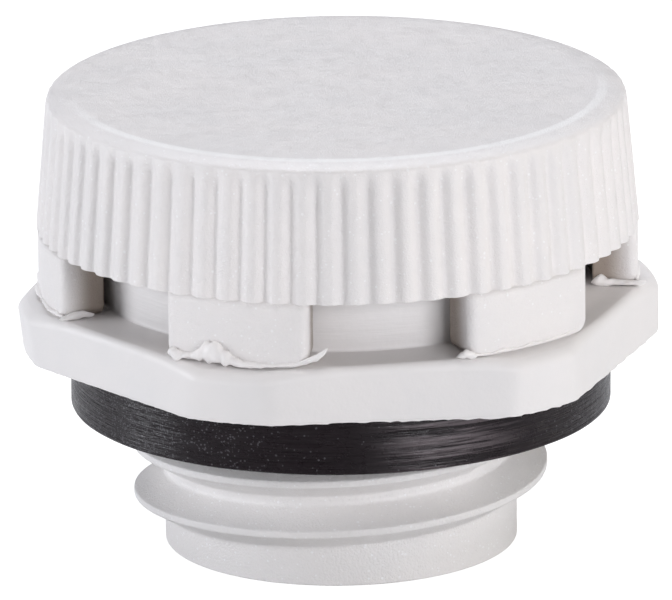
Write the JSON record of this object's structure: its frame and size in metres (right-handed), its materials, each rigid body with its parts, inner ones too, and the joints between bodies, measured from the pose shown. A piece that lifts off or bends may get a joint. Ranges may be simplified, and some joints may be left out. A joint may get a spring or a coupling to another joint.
{
  "type": "pressure equalizing vent plug",
  "caption": "Screw-in vent plug with a knurled cap on welded legs over a membrane, a hexagonal flange, a flat gasket and a short threaded stub.",
  "frame": {"origin": "centre of the stub's end face, on the plug's axis", "axes": "+Z along the plug's axis from the threaded stub towards the cap, two flats of the hexagon facing -Y and +Y"},
  "size_m": [0.0186, 0.0174, 0.0134],
  "materials": {
    "body_plastic": "light grey moulded plastic, satin on the thread",
    "cap_plastic": "light grey moulded plastic with a fine spark-eroded grain",
    "gasket_rubber": "black rubber, dull with fine turned lines",
    "membrane_sheet": "white porous sheet"
  },
  "bodies": {
    "root": {"body": "body_plastic", "cap": "cap_plastic", "gasket": "gasket_rubber", "membrane": "membrane_sheet"}
  },
  "joints": []
}
